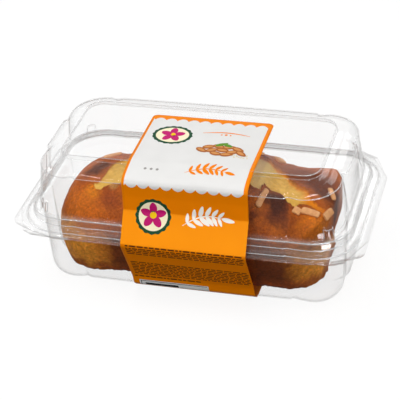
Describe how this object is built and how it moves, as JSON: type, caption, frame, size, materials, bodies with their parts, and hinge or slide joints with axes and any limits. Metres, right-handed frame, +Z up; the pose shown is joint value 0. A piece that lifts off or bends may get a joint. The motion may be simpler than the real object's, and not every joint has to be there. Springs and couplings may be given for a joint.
{
  "type": "packaged pound cake loaf",
  "caption": "Split-top pound cake loaf with almond slivers in a clear two-part plastic clamshell, held shut by a wrap label.",
  "frame": {"origin": "middle of the overall bounding box's bottom face, on the surface the pack stands on", "axes": "+X along the pack to the right as seen from its front, -Y towards the front where the label folds down, +Z up"},
  "size_m": [0.2118, 0.1232, 0.084],
  "materials": {
    "clear_pet": "glossy clear thermoformed plastic sheet",
    "label_paper": "satin printed",
    "baked_crust": "soft baked crust"
  },
  "bodies": {
    "root": {"tray": "clear_pet", "lid": "clear_pet", "label": "label_paper", "cake": "baked_crust"}
  },
  "joints": []
}
